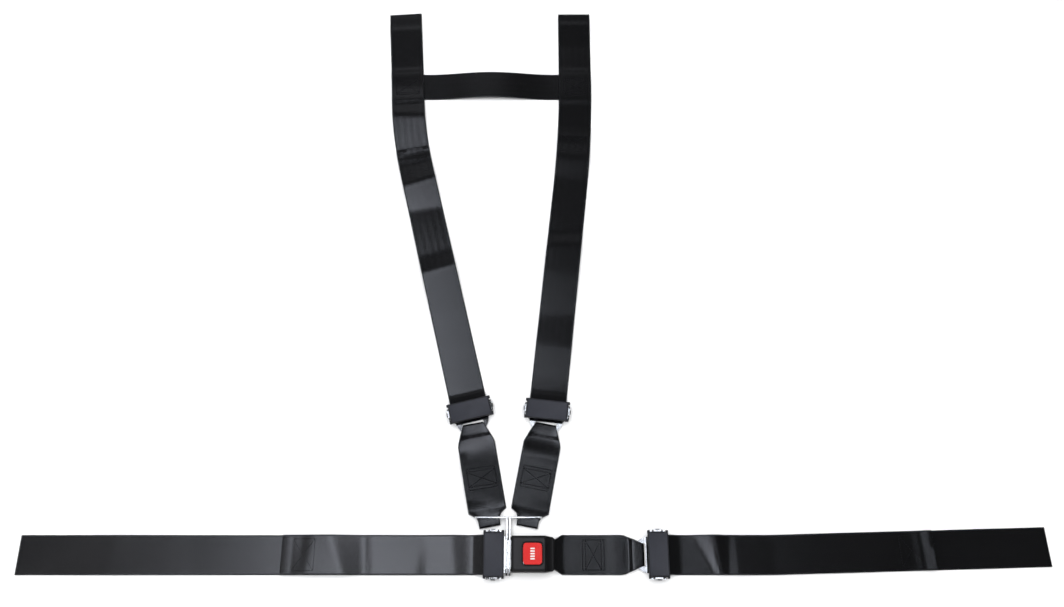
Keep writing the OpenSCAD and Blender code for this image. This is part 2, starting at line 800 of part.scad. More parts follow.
intersection() {  // lap_connector_loop
    lap_connector_whole();
    slab([-big, lap_connector_fold_x], all_y, all_z);
}
intersection() {  // lap_connector
    lap_connector_whole();
    slab([lap_connector_fold_x, big], all_y, all_z);
}
translate([78, lap_y, tail_z[1]]) box_x();  // lap_connector_stitching
on_right_lap() adjuster_frame();  // right_lap_frame
on_right_lap() adjuster_grip();  // right_lap_grip
on_right_lap() adjuster_bar();  // right_lap_bar
on_right_lap() strap_loop(strap_fold_u);  // right_lap_strap_loop
on_right_lap() right_lap_strap();
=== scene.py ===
"""Looks of a four-point harness with 2 inch webbing, laid out flat on a pale floor.

Metres throughout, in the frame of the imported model: X along the lap belt, Y up the shoulder straps, Z up.
Every strap is one long ribbon of webbing, swept along the same route as its CAD solids. Along a strap or a
connector u is the distance from its start, and a runs from -1 at one selvedge to 1 at the other.
"""
import json
import math

import bmesh
import bpy
from mathutils import Matrix, Vector


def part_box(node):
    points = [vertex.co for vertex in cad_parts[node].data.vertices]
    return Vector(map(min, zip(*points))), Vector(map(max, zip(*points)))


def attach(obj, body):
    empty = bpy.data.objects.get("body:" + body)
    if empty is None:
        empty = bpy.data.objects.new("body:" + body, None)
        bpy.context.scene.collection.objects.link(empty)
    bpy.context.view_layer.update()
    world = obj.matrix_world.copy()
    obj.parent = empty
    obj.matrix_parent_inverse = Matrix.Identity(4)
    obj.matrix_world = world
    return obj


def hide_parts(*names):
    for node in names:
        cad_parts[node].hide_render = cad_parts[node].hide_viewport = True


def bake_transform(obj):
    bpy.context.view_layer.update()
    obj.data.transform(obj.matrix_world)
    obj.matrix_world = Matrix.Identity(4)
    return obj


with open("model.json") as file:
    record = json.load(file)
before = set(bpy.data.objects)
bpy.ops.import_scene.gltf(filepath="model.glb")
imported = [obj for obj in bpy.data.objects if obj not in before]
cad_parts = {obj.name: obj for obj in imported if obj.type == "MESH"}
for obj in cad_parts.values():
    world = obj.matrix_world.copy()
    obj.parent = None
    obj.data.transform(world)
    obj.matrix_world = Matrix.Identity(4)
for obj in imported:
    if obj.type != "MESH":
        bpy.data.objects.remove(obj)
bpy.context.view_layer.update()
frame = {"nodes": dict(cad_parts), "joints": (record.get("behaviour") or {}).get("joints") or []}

MM = 0.001
UP = Vector((0, 0, 1))

# Webbing
WEB_W = 50.8 * MM
WEB_T = 1.4 * MM
GAP = 0.1 * MM                     # between two layers that lie on each other
LOW = WEB_T / 2                    # centre height of the layer on the floor
TAIL = WEB_T * 1.5 + GAP           # centre height of the layer above it
ACROSS = 22                        # divisions across a ribbon

# A tail's end is folded under for HEM, and the ply above steps down behind it, from and to this far back
HEM = 18 * MM
HEM_STEP_FROM = 2 * MM
HEM_STEP_TO = 8 * MM

# Adjusters, in their own axes: u along the webbing away from the buckle, z up
BAR_Z = 7.9 * MM
LOOP_R = 2.5 * MM                  # centre line of the webbing round the bar
LOOP_U = -3.6 * MM
SLOT_U = -18.75 * MM               # slot in the frame, which a connector is sewn through
BAR_TOP = BAR_Z + LOOP_R
BAR_BOTTOM = BAR_Z - LOOP_R

joints = {joint["name"]: joint for joint in frame["joints"]}


# ---------- routes and side views ----------

def unit(angle):
    """Direction in plan, leaning to the left of +Y by that many radians."""
    return Vector((-math.sin(angle), math.cos(angle), 0))


def side_of(ahead):
    """Direction in plan to the right of another."""
    return Vector((ahead.y, -ahead.x, 0))


class Route:
    """A strap's centre line in plan: straight, then a steady bend, then straight again."""

    def __init__(self, start, angle, straight=math.inf, bend=0.0, end_angle=0.0):
        self.start = Vector(start)
        self.angle = angle
        self.straight = straight
        self.bend = bend
        self.end_angle = end_angle

    def at(self, u):
        """The point at u and the direction there."""
        if u <= self.straight:
            return self.start + unit(self.angle) * u, unit(self.angle)
        knee = self.start + unit(self.angle) * self.straight
        turn = self.end_angle - self.angle
        run = min(u - self.straight, self.bend)
        here = self.angle + turn * run / self.bend
        radius = self.bend / turn
        point = knee + radius * (unit(here - math.pi / 2) - unit(self.angle - math.pi / 2))
        return point + unit(here) * max(0, u - self.straight - self.bend), unit(here)

    def u_of_y(self, y):
        """How far along the route reaches that y."""
        low, high = 0, 2
        for _ in range(40):
            middle = (low + high) / 2
            if self.at(middle)[0].y < y:
                low = middle
            else:
                high = middle
        return low


def resample(points, step):
    """The same line of points with even spacing."""
    out = [points[0]]
    left = step
    for a, b in zip(points, points[1:]):
        length = (b - a).length
        d = left
        while d < length:
            out.append(a.lerp(b, d / length))
            d += step
        left = d - length
    out.append(points[-1])
    return out


def smooth(points, passes):
    """Rounds a line off, with its two ends kept."""
    for _ in range(passes):
        inner = [(a + b * 2 + c) / 4 for a, b, c in zip(points, points[1:], points[2:])]
        points = [points[0]] + inner + [points[-1]]
    return points


def thin_out(points, turn=math.radians(5), shortest=0.2 * MM, longest=5 * MM):
    """Drops points where the line is nearly straight."""
    out = [points[0]]
    for i in range(1, len(points) - 1):
        a = points[i] - out[-1]
        b = points[i + 1] - points[i]
        if a.length > longest or (a.length > shortest and a.angle(b) > turn):
            out.append(points[i])
    out.append(points[-1])
    return out


def side_view(points, step=0.6 * MM, passes=5):
    """A smooth side view through points of (u, z)."""
    line = resample([Vector((u, 0, z)) for u, z in points], step)
    return thin_out(smooth(line, passes))


def arc(u, z, r, start, end, n=10):
    """Points of an arc in side view, with angles in degrees."""
    angles = [math.radians(start + (end - start) * i / n) for i in range(n + 1)]
    return [(u + r * math.cos(angle), z + r * math.sin(angle)) for angle in angles]


def turning_point(line):
    """Index of the point where a side view turns back."""
    return min(range(len(line)), key=lambda i: line[i].x)


def creases(knots, soft=2.5):
    """Height of a strap above its flat place, as f(u, a), from creases of (u, height, slant, tilt) in mm.

    The strap is straight from one crease to the next, and soft is how far a crease rounds off. At the
    selvedge a = 1 a crease lies slant further on and tilt higher, and the other way at a = -1.
    """
    full = [tuple(knot) + (0,) * (4 - len(knot)) for knot in knots]

    def sharp(u, a):
        spots = [(at + slant * a, height + tilt * a) for at, height, slant, tilt in full]
        for (u0, h0), (u1, h1) in zip(spots, spots[1:]):
            if u0 <= u <= u1:
                return h0 + (h1 - h0) * (u - u0) / (u1 - u0)
        return 0.0

    def lift(u, a):
        return sum(sharp(u / MM + soft * k, a) for k in (-1, -0.5, 0, 0.5, 1)) / 5 * MM

    return lift


# ---------- objects and materials ----------

def link(obj):
    bpy.context.scene.collection.objects.link(obj)
    return obj


def mesh_object(name, bm, materials):
    """A smooth-shaded object from a bmesh, which is used up."""
    mesh = bpy.data.meshes.new(name)
    bmesh.ops.recalc_face_normals(bm, faces=bm.faces)
    bm.to_mesh(mesh)
    bm.free()
    for material in materials:
        mesh.materials.append(material)
    mesh.shade_smooth()
    return link(bpy.data.objects.new(name, mesh))


class Nodes:
    """A material's nodes, with short calls to add and join them."""

    def __init__(self, name, **values):
        self.material = bpy.data.materials.new(name)
        self.material.use_nodes = True
        self.tree = self.material.node_tree
        self.shader = self.tree.nodes["Principled BSDF"]
        for key, value in values.items():
            self.shader.inputs[key.replace("_", " ")].default_value = value

    def add(self, kind, **settings):
        node = self.tree.nodes.new("ShaderNode" + kind)
        for key, value in settings.items():
            setattr(node, key, value)
        return node

    def put(self, socket, value):
        """Joins another socket to this one, or sets a constant."""
        if isinstance(value, bpy.types.NodeSocket):
            self.tree.links.new(value, socket)
        else:
            socket.default_value = value

    def math(self, operation, a, b=0.0, clamp=False):
        node = self.add("Math", operation=operation, use_clamp=clamp)
        self.put(node.inputs[0], a)
        self.put(node.inputs[1], b)
        return node.outputs[0]

    def wave(self, value, period):
        """A sine of that period, from -1 to 1."""
        return self.math("SINE", self.math("MULTIPLY", value, 2 * math.pi / period))

    def noise(self, scale, detail, rough=0.5):
        node = self.add("TexNoise")
        node.inputs["Scale"].default_value = scale
        node.inputs["Detail"].default_value = detail
        node.inputs["Roughness"].default_value = rough
        self.put(node.inputs["Vector"], self.place())
        return node.outputs["Fac"]

    def place(self):
        return self.add("TexCoord").outputs["Object"]

    def remap(self, value, low, high, to_low, to_high):
        node = self.add("MapRange")
        for i, v in enumerate((value, low, high, to_low, to_high)):
            self.put(node.inputs[i], v)
        return node.outputs[0]

    def mix(self, factor, a, b):
        """A colour between two, each given as an RGB tuple or a socket."""
        node = self.add("Mix", data_type="RGBA")
        self.put(node.inputs["Factor"], factor)
        self.put(node.inputs[6], (*a, 1) if isinstance(a, tuple) else a)
        self.put(node.inputs[7], (*b, 1) if isinstance(b, tuple) else b)
        return node.outputs[2]

    def colour(self, value):
        self.put(self.shader.inputs["Base Color"], value)

    def roughness(self, value):
        self.put(self.shader.inputs["Roughness"], value)

    def bump(self, height, distance, strength):
        node = self.add("Bump")
        node.inputs["Strength"].default_value = strength
        node.inputs["Distance"].default_value = distance
        self.put(node.inputs["Height"], height)
        self.put(self.shader.inputs["Normal"], node.outputs["Normal"])


# The weave's sizes, in mm
WEAVE_PANEL = 5.08                 # width of one stripe of the herringbone
WEAVE_PITCH = 1.6                  # one diagonal to the next
YARN_PITCH = 0.85
PICK_W = 1.27                      # a cell with a shade of its own
PICK_L = 1.3
SELVEDGE_FROM = 23.0               # distance from the middle where the selvedge's colour starts
SELVEDGE_TO = 24.4


def webbing_material(name, dark, light, roughness):
    """Polyester webbing: a herringbone of ten stripes with fine yarns, random tone, painted shade in the
    grooves and a dark selvedge.
    """
    n = Nodes(name, Specular_IOR_Level=1.0)
    n.shader.inputs["Specular Tint"].default_value = (0.93, 0.95, 1.0, 1.0)
    weave = n.add("SeparateXYZ")
    n.put(weave.inputs[0], n.add("UVMap", uv_map="weave").outputs["UV"])
    across, along = weave.outputs[0], weave.outputs[1]
    slant = n.math("ADD", n.math("MULTIPLY", n.math("PINGPONG", across, WEAVE_PANEL), 0.8), along)
    diagonals = n.wave(slant, WEAVE_PITCH)
    yarns = n.wave(across, YARN_PITCH)
    height = n.math("ADD", n.math("MULTIPLY", diagonals, 0.6), n.math("MULTIPLY", yarns, 0.4))
    from_middle = n.math("ABSOLUTE", n.math("SUBTRACT", across, WEB_W / MM / 2))
    selvedge = n.remap(from_middle, SELVEDGE_FROM, SELVEDGE_TO, 0.0, 1.0)
    wide = n.noise(9.0, 2.0)
    cell = n.add("CombineXYZ")
    n.put(cell.inputs[0], n.math("FLOOR", n.math("DIVIDE", across, PICK_W)))
    n.put(cell.inputs[1], n.math("FLOOR", n.math("DIVIDE", slant, PICK_L)))
    white_noise = n.add("TexWhiteNoise", noise_dimensions="2D")
    n.put(white_noise.inputs["Vector"], cell.outputs[0])
    picks = white_noise.outputs["Value"]
    # Darker in the weave's grooves and lighter on its crests: painted shade and light; the noise and the
    # cells add random tone.
    shade = n.math("MULTIPLY", n.remap(wide, 0.3, 0.7, 0.4, 1.0), n.remap(height, -1, 1, 0.6, 1.0))
    shade = n.math("ADD", shade, n.remap(picks, 0, 1, -0.15, 0.15), clamp=True)
    n.colour(n.mix(selvedge, n.mix(shade, dark, light), tuple(c * 0.35 for c in dark)))
    gloss = n.remap(picks, 0, 1, roughness - 0.02, roughness + 0.02)
    n.roughness(n.math("ADD", gloss, n.math("MULTIPLY", selvedge, 0.3)))
    n.bump(height, 0.06 * MM, 0.3)
    return n.material


def thread_material():
    """Black sewing thread with the grain of its twist."""
    n = Nodes("thread", Specular_IOR_Level=0.2)
    twist = n.noise(3000.0, 1.0)
    n.colour(n.mix(twist, (0.002, 0.002, 0.0025), (0.010, 0.010, 0.012)))
    n.roughness(0.8)
    n.bump(twist, 0.1 * MM, 0.5)
    return n.material


def chrome_material():
    """Bright plating with faint polishing waves and handling marks."""
    n = Nodes("chrome", Metallic=1.0)
    marks = n.noise(260.0, 4.0, 0.65)
    n.colour(n.mix(n.remap(marks, 0.5, 0.75, 0, 1), (0.72, 0.73, 0.75), (0.60, 0.61, 0.63)))
    n.roughness(n.remap(marks, 0.4, 0.75, 0.07, 0.18))
    n.bump(n.noise(45.0, 2.0), 0.5 * MM, 0.15)
    return n.material


def steel_material():
    """Zinc plated steel with a fine grain and duller patches."""
    n = Nodes("steel", Metallic=1.0)
    patches = n.noise(90.0, 3.0)
    n.colour(n.mix(patches, (0.42, 0.42, 0.43), (0.62, 0.62, 0.61)))
    n.roughness(n.remap(patches, 0.3, 0.7, 0.28, 0.46))
    n.bump(n.noise(1500.0, 3.0, 0.6), 0.06 * MM, 0.4)
    return n.material


def knurled_steel_material():
    """Steel with a diamond knurl, for the sliding bars, with painted shade in the knurl's grooves."""
    n = Nodes("knurled_steel", Metallic=1.0)
    parts = n.add("SeparateXYZ")
    n.put(parts.inputs[0], n.place())
    x, y = parts.outputs[0], parts.outputs[1]
    pitch = 1.1 * MM
    knurl = n.math("MULTIPLY", n.wave(n.math("ADD", x, y), pitch), n.wave(n.math("SUBTRACT", x, y), pitch))
    # The knurl's grooves are painted darker than its crests: painted shade.
    n.colour(n.mix(n.remap(knurl, -1, 1, 0, 1), (0.30, 0.30, 0.31), (0.66, 0.66, 0.66)))
    n.roughness(0.3)
    n.bump(knurl, 0.25 * MM, 0.8)
    return n.material


def grip_material():
    """Moulded grip face: a close grain of small cells in charcoal."""
    n = Nodes("grip_face", Specular_IOR_Level=0.35)
    cells = n.add("TexVoronoi")
    cells.inputs["Scale"].default_value = 1100.0
    n.put(cells.inputs["Vector"], n.place())
    soft = n.noise(70.0, 2.0)
    height = n.math("ADD", cells.outputs["Distance"], n.math("MULTIPLY", n.noise(900.0, 3.0, 0.6), 0.5))
    grain = n.math("MULTIPLY", n.remap(height, 0.2, 1.0, 0, 1), 0.6)
    tone = n.math("ADD", grain, n.math("MULTIPLY", soft, 0.4))
    n.colour(n.mix(tone, (0.016, 0.017, 0.022), (0.037, 0.039, 0.050)))
    n.roughness(n.remap(soft, 0.3, 0.7, 0.46, 0.60))
    n.bump(height, 0.25 * MM, 0.55)
    return n.material


def plastic_material(name, dark, light, rough, grain_depth, specular):
    """Moulded plastic with a fine spark-eroded grain."""
    n = Nodes(name, Specular_IOR_Level=specular)
    grain = n.noise(2200.0, 3.0, 0.6)
    soft = n.noise(45.0, 3.0)
    tone = n.math("ADD", n.math("MULTIPLY", soft, 0.7), n.math("MULTIPLY", grain, 0.3))
    n.colour(n.mix(tone, dark, light))
    n.roughness(n.remap(soft, 0.3, 0.7, rough - 0.05, rough + 0.08))
    n.bump(grain, grain_depth, 0.5)
    return n.material


def floor_material():
    n = Nodes("floor", Specular_IOR_Level=0.1)
    n.colour(n.mix(n.noise(3.0, 2.0), (0.90, 0.90, 0.90), (0.93, 0.93, 0.93)))
    n.roughness(0.9)
    return n.material


BLACK_WEB = webbing_material("webbing_black", (0.0012, 0.0012, 0.0013), (0.0038, 0.0038, 0.0041), 0.20)
# A lighter, slightly rougher copy of the black webbing for the left lap strap: painted light from the lit
# side.
WEB_PAINTED_LIGHTER = webbing_material("webbing_painted_lighter", (0.0075, 0.0074, 0.0078), (0.0185, 0.0183, 0.0192), 0.25)
THREAD = thread_material()
CHROME = chrome_material()
STEEL = steel_material()
KNURL = knurled_steel_material()
GRIP_FACE = grip_material()
# The grip's rim, sides and lugs, painted darker than its face: painted shade at the grip's edges.
GRIP_RIM_PAINTED_SHADE = plastic_material("grip_rim_painted_shade", (0.006, 0.006, 0.008), (0.016, 0.017, 0.021), 0.45, 0.06 * MM, 0.4)
HOUSING = plastic_material("housing", (0.003, 0.003, 0.0033), (0.006, 0.006, 0.0066), 0.42, 0.05 * MM, 0.25)
PANEL = plastic_material("panel", (0.020, 0.020, 0.022), (0.031, 0.031, 0.034), 0.6, 0.06 * MM, 0.2)
RED = plastic_material("button_red", (0.52, 0.006, 0.005), (0.62, 0.011, 0.009), 0.35, 0.02 * MM, 0.25)
WHITE = plastic_material("button_white", (0.66, 0.64, 0.63), (0.80, 0.79, 0.78), 0.35, 0.02 * MM, 0.4)


# ---------- ribbons ----------

def section(width):
    """Outline of the webbing across: (across, height above the centre), with round selvedges."""
    r = WEB_T / 2
    flat = width / 2 - r
    steps = [-1, -0.985] + [-0.97 + 1.94 * i / ACROSS for i in range(1, ACROSS)] + [0.985, 1]
    top = [(flat * k, r) for k in steps]
    angles = [math.radians(angle) for angle in (36, 72, 108, 144)]
    turn = [(flat + r * math.sin(angle), r * math.cos(angle)) for angle in angles]
    return top + turn + [(-x, -z) for x, z in top] + [(-x, -z) for x, z in turn]


def ribbon(name, stations, material):
    """Webbing swept along stations of (point, side, width, lift). Returns the object and its length.

    side is the direction across, and lift(a) raises the webbing at that place across.
    """
    bm = bmesh.new()
    uv = bm.loops.layers.uv.new("weave")
    rings = []
    lengths = []
    run = 0.0
    for i, (point, side, width, lift) in enumerate(stations):
        before = stations[max(i - 1, 0)][0]
        ahead = stations[min(i + 1, len(stations) - 1)][0] - before
        up = ahead.cross(side).normalized()
        run += (point - before).length
        lengths.append(run)
        rings.append([
            bm.verts.new(point + side * x + up * z + UP * lift(2 * x / width)) for x, z in section(width)
        ])
    flat = [(x + WEB_W / 2) / MM for x, _ in section(WEB_W)]
    count = len(flat)
    for i in range(len(rings) - 1):
        for k in range(count):
            m = (k + 1) % count
            face = bm.faces.new((rings[i][k], rings[i][m], rings[i + 1][m], rings[i + 1][k]))
            for loop, (j, s) in zip(face.loops, ((k, i), (m, i), (m, i + 1), (k, i + 1))):
                loop[uv].uv = (flat[j], lengths[s] / MM)
    for end in (rings[0], rings[-1]):
        face = bm.faces.new(end)
        for loop, across in zip(face.loops, flat):
            loop[uv].uv = (across, 0)
    return mesh_object(name, bm, [material]), run


def full_width(u):
    return WEB_W


def on_route(route, line, widths, lifts):
    """Stations along a route, from a side view of (u, 0, z) points with a lift(u, a) for each of them.

    widths(u) is the webbing's width.
    """
    stations = []
    for p, lift in zip(line, lifts):
        point, ahead = route.at(p.x)
        place = Vector((point.x, point.y, p.z))
        stations.append((place, side_of(ahead), widths(p.x), lambda a, u=p.x, lift=lift: lift(u, a)))
    return stations


def finish_sheet(obj, nodes):
    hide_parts(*nodes)
    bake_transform(obj)


# ---------- threads ----------

STITCH = 3.2 * MM                  # one stitch to the next
STITCH_L = 2.9 * MM
STITCH_R = 0.72 * MM
HEM_STITCH_R = 0.34 * MM
STITCH_SIDES = 6
STITCH_PROFILE = ((-1, 0.35), (-0.75, 0.85), (0, 1.0), (0.75, 0.85), (1, 0.35))    # (place along it, girth)
STITCH_DIP = 0.9                   # how far its ends go down, in radii

# Seams behind the end of a tail
HEM_SEAM_FROM = 15 * MM
HEM_SEAM_TO = 44 * MM
HEM_SEAM_HALF = 20 * MM


def add_stitch(bm, middle, ahead, length, radius):
    """One stitch: a short thread that dips into the webbing at both ends."""
    side = ahead.cross(UP).normalized()
    angles = [2 * math.pi * i / STITCH_SIDES for i in range(STITCH_SIDES)]
    rings = []
    for k, fat in STITCH_PROFILE:
        centre = middle + ahead * (k * length / 2) - UP * (k * k * radius * STITCH_DIP)
        rings.append([
            bm.verts.new(centre + (side * math.cos(a) + UP * math.sin(a)) * radius * fat) for a in angles
        ])
    for a, b in zip(rings, rings[1:]):
        for i in range(STITCH_SIDES):
            m = (i + 1) % STITCH_SIDES
            bm.faces.new((a[i], a[m], b[m], b[i]))
    bm.faces.new(rings[0])
    bm.faces.new(rings[-1][::-1])


def stitching(name, body, route, seams, height, radius=STITCH_R):
    """Rows of stitches along seams of ((u, across), (u, across)) on a route.

    height(u, a) is the webbing's top.
    """
    def place(q):
        point, ahead = route.at(q.x)
        spot = point + side_of(ahead) * q.y
        spot.z = height(q.x, 2 * q.y / WEB_W)
        return spot

    bm = bmesh.new()
    half = STITCH_L / STITCH / 2
    for start, end in seams:
        a, b = Vector(start), Vector(end)
        count = max(1, round((b - a).length / STITCH))
        for i in range(count):
            first = place(a.lerp(b, (i + 0.5 - half) / count))
            run = place(a.lerp(b, (i + 0.5 + half) / count)) - first
            add_stitch(bm, first + run / 2, run.normalized(), run.length, radius)
    obj = mesh_object(name, bm, [THREAD])
    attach(obj, body)
    return obj


def box_seams(u, length=28.5 * MM, width=38 * MM, inner=4 * MM):
    """Seams of a box with a cross inside and a second row at two sides, centred at u."""
    end, side, row = length / 2, width / 2, length / 2 - inner
    corners = [(u - end, -side), (u - end, side), (u + end, side), (u + end, -side)]
    inside = [((u - row, -side), (u - row, side)), ((u + row, -side), (u + row, side)),
              ((u - row, -side), (u + row, side)), ((u - row, side), (u + row, -side))]
    return list(zip(corners, corners[1:] + corners[:1])) + inside


def hem_seams(tail_u):
    """Two rows across a tail behind its fold, joined at the sides, and a cross between them."""
    near = tail_u - HEM_SEAM_TO
    far = tail_u - HEM_SEAM_FROM
    side = HEM_SEAM_HALF
    return [((far, -side), (far, side)), ((near, -side), (near, side)),
            ((near, -side), (far, -side)), ((near, side), (far, side)),
            ((near, -side), (far, side)), ((near, side), (far, -side))]


# ---------- places on the harness ----------

class Adjuster:
    """Where an adjuster sits, from its grip's node and the joint that the grip slides on."""

    def __init__(self, name):
        self.name = name
        low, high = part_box(name + "_grip")
        self.origin = Vector(((low.x + high.x) / 2, (low.y + high.y) / 2, 0))
        self.ahead = -Vector(joints[name + "_grip_slide"]["axis"]).normalized()
        self.angle = math.atan2(-self.ahead.x, self.ahead.y)
        self.slot = self.origin + self.ahead * SLOT_U
        side = UP.cross(self.ahead)
        self.matrix = Matrix((
            (self.ahead.x, side.x, 0, self.origin.x),
            (self.ahead.y, side.y, 0, self.origin.y),
            (0, 0, 1, 0),
            (0, 0, 0, 1)))


LEFT_LAP = Adjuster("left_lap")
RIGHT_LAP = Adjuster("right_lap")
LEFT_SHOULDER = Adjuster("left_shoulder")
RIGHT_SHOULDER = Adjuster("right_shoulder")

lap_y = LEFT_LAP.origin.y
cross_low, cross_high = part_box("cross_strap")
cross_y = (cross_low.y + cross_high.y) / 2
cross_w = cross_high.y - cross_low.y
left_end_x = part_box("left_lap_strap")[0].x
right_end_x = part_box("right_lap_strap")[1].x
top_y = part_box("right_shoulder_strap")[1].y

# Ends of the tails, and middles of the connectors' loops in their links
LEFT_LAP_TAIL_X = -0.330
RIGHT_LAP_TAIL_X = 0.524
LEFT_SHOULDER_TAIL_Y = 0.194
RIGHT_SHOULDER_TAIL_Y = 0.232
LEFT_LOOP = Vector((-0.0575, -0.373, 0))
RIGHT_LOOP = Vector((-0.009, -0.373, 0))

left_lap_route = Route(LEFT_LAP.origin, LEFT_LAP.angle)
right_lap_route = Route(RIGHT_LAP.origin, RIGHT_LAP.angle, straight=0.128, bend=0.040,
                        end_angle=RIGHT_LAP.angle + math.radians(1.6))
left_route = Route(LEFT_SHOULDER.origin, LEFT_SHOULDER.angle, straight=0.385, bend=0.116,
                   end_angle=math.radians(4))
right_route = Route(RIGHT_SHOULDER.origin, RIGHT_SHOULDER.angle, straight=0.345, bend=0.190, end_angle=0.0)


# ---------- straps ----------

# For each strap, the creases that lift its lower layer and the tail on it, and those of the tail alone
CREASES = {
    "left_lap": (
        [(282, 0), (330, 0.2, 3), (395, 0.6, 2), (500, 2.6, -4), (575, 0.3), (623, 1.0)],
        [(38, 0), (50, 2.4, 4), (88, 0.3, -3), (96, 0.9, -2, -0.9), (160, 1.6, 2), (171, 0.2, 1),
         (204, 6.4, 10), (244, 5.4, -4), (262, 1.6), (270, 2.2), (278, 1.2)],
    ),
    "right_lap": (
        [(370, 0), (420, 1.6), (470, 0.4), (513, 0.8)],
        [(42, 0), (59, 0.2, 15), (79.5, 5.2, 3, -1.5), (92, 0.8, -0.5), (98, 2.4, 2, 0.6), (150, 0.6),
         (240, 1.2), (330, 0.3), (350, 0.2, 1), (362, 5.4, 1)],
    ),
    "left_shoulder": (
        [(421, 0), (480, 5.6, -3), (530, 0.8, -2), (575, 0.6), (640, 4.0, 0), (666, 1.0), (680, 0.6)],
        [(45, 0), (100, 0.4), (150, 2.0), (214, 8.0, 2), (240, 4.0, 1), (318, 0.6, -2), (361, 6.6, 3),
         (405, 0.6, 2), (414, 0.4, 1), (421, 2.4, 1)],
    ),
    "right_shoulder": (
        [(452, 0), (500, 1.2), (540, 0.3), (600, 0.3), (640, 3.4), (662, 0.6)],
        [(45, 0), (94, 3.0), (102, 2.6, -2), (139, 0.8, 2), (205, 4.2), (249, 4.6, 4), (272, 1.0, 4),
         (345, 0.6), (362, 0.8), (395, 4.6), (440, 0.4), (452, 0)],
    ),
}

# Side view of a strap between where it lies flat and its sliding bar
TAIL_TO_BAR = [
    (29 * MM, TAIL), (26 * MM, TAIL + 0.4 * MM),
    (9 * MM, BAR_TOP - 0.5 * MM), (6 * MM, BAR_TOP),
]
BAR_TO_FLOOR = [
    (11 * MM, BAR_BOTTOM), (13 * MM, BAR_BOTTOM - 0.4 * MM),
    (22 * MM, LOW + 0.4 * MM), (25 * MM, LOW),
]

# A shoulder strap lies on the cross strap this far either side of its middle
OVER_REACH = 25.5 * MM
OVER_RAMP = 6 * MM


def strap_line(tail_u, end_u, over):
    """Side view of a whole strap: hem, tail, round the sliding bar, and back out along the floor to end_u.

    over is where it starts and stops lying on another strap, or None.
    """
    hem_z = TAIL + WEB_T + GAP / 2
    fold_r = (hem_z - TAIL) / 2
    fold_u = tail_u - fold_r - WEB_T / 2
    hem_u = tail_u - HEM
    hem = [(hem_u, TAIL)] + arc(fold_u, TAIL + fold_r, fold_r, -90, 90, 6)
    line = [(fold_u - GAP, hem_z), (hem_u - HEM_STEP_FROM, hem_z), (hem_u - HEM_STEP_TO, TAIL)]
    line += TAIL_TO_BAR + arc(LOOP_U, BAR_Z, LOOP_R, 90, 270) + BAR_TO_FLOOR
    if over:
        high = LOW + WEB_T + GAP
        line += [(over[0] - OVER_RAMP, LOW), (over[0], high), (over[1], high), (over[1] + OVER_RAMP, LOW)]
    return [Vector((u, 0, z)) for u, z in hem] + side_view(line + [(end_u, LOW)])


def strap(adjuster, route, tail_u, end_u, material, knots, bodies, over=None):
    """A whole strap with its hem's seams, from its adjuster to its cut end."""
    name = adjuster.name
    lower = creases(knots[0])
    tail = creases(knots[1])

    def both(u, a):
        return lower(u, a) + tail(u, a)

    def thread_height(u, a):
        on_hem = min(1, max(0, (u - (tail_u - HEM - HEM_STEP_TO)) / (HEM_STEP_TO - HEM_STEP_FROM)))
        return TAIL + WEB_T / 2 + on_hem * (WEB_T + GAP / 2) + both(u, a)

    line = strap_line(tail_u, end_u, over)
    turning = turning_point(line)
    lifts = [both if i < turning else lower for i in range(len(line))]
    belt, length = ribbon(name + "_belt", on_route(route, line, full_width, lifts), material)
    threads = stitching(name + "_belt_hem_stitching", bodies[1], route, hem_seams(tail_u), thread_height,
                        HEM_STITCH_R)
    finish_sheet(belt, [name + "_strap", name + "_strap_loop"])


# The left lap strap takes the lighter copy of the webbing, with its painted light.
strap(LEFT_LAP, left_lap_route, LEFT_LAP.origin.x - LEFT_LAP_TAIL_X, LEFT_LAP.origin.x - left_end_x,
      WEB_PAINTED_LIGHTER, CREASES["left_lap"], ["tongue", "left_lap_strap"])
strap(RIGHT_LAP, right_lap_route, RIGHT_LAP_TAIL_X - RIGHT_LAP.origin.x, right_end_x - RIGHT_LAP.origin.x,
      BLACK_WEB, CREASES["right_lap"], ["right_lap_adjuster", "right_lap_strap"])
for adjuster, route, tail_y in (
        (LEFT_SHOULDER, left_route, LEFT_SHOULDER_TAIL_Y),
        (RIGHT_SHOULDER, right_route, RIGHT_SHOULDER_TAIL_Y)):
    over = route.u_of_y(cross_y - OVER_REACH), route.u_of_y(cross_y + OVER_REACH)
    strap(adjuster, route, route.u_of_y(tail_y), route.u_of_y(top_y),
          BLACK_WEB, CREASES[adjuster.name], ["shoulder_adjusters", "shoulder_straps"],
          over)


# ---------- cross strap ----------

ARCH = 7 * MM                      # its height halfway between the shoulder straps
ARCH_HALF = 98 * MM
ARCH_TILT = 0.08                   # how much higher its front edge is, as a share
ARCH_SHIFT = 0.15                  # how far it leans back, as a share
CROSS_STEPS = 90
arch_mid = (cross_low.x + cross_high.x) / 2


def cross_stations():
    """The cross strap lies under both shoulder straps and stands in a low arch between them."""
    stations = []
    for i in range(CROSS_STEPS + 1):
        x = cross_low.x + (cross_high.x - cross_low.x) * i / CROSS_STEPS
        t = min(1, abs(x - arch_mid) / ARCH_HALF)
        rise = ARCH * (1 + math.cos(math.pi * t)) / 2
        place = Vector((x, cross_y + rise * ARCH_SHIFT, LOW))

        def lift(a, rise=rise):
            return rise * (1 + ARCH_TILT * a)

        stations.append((place, Vector((0, -1, 0)), cross_w, lift))
    return stations


cross, length = ribbon("cross_belt", cross_stations(), BLACK_WEB)
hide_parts("cross_strap")
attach(cross, "shoulder_straps")

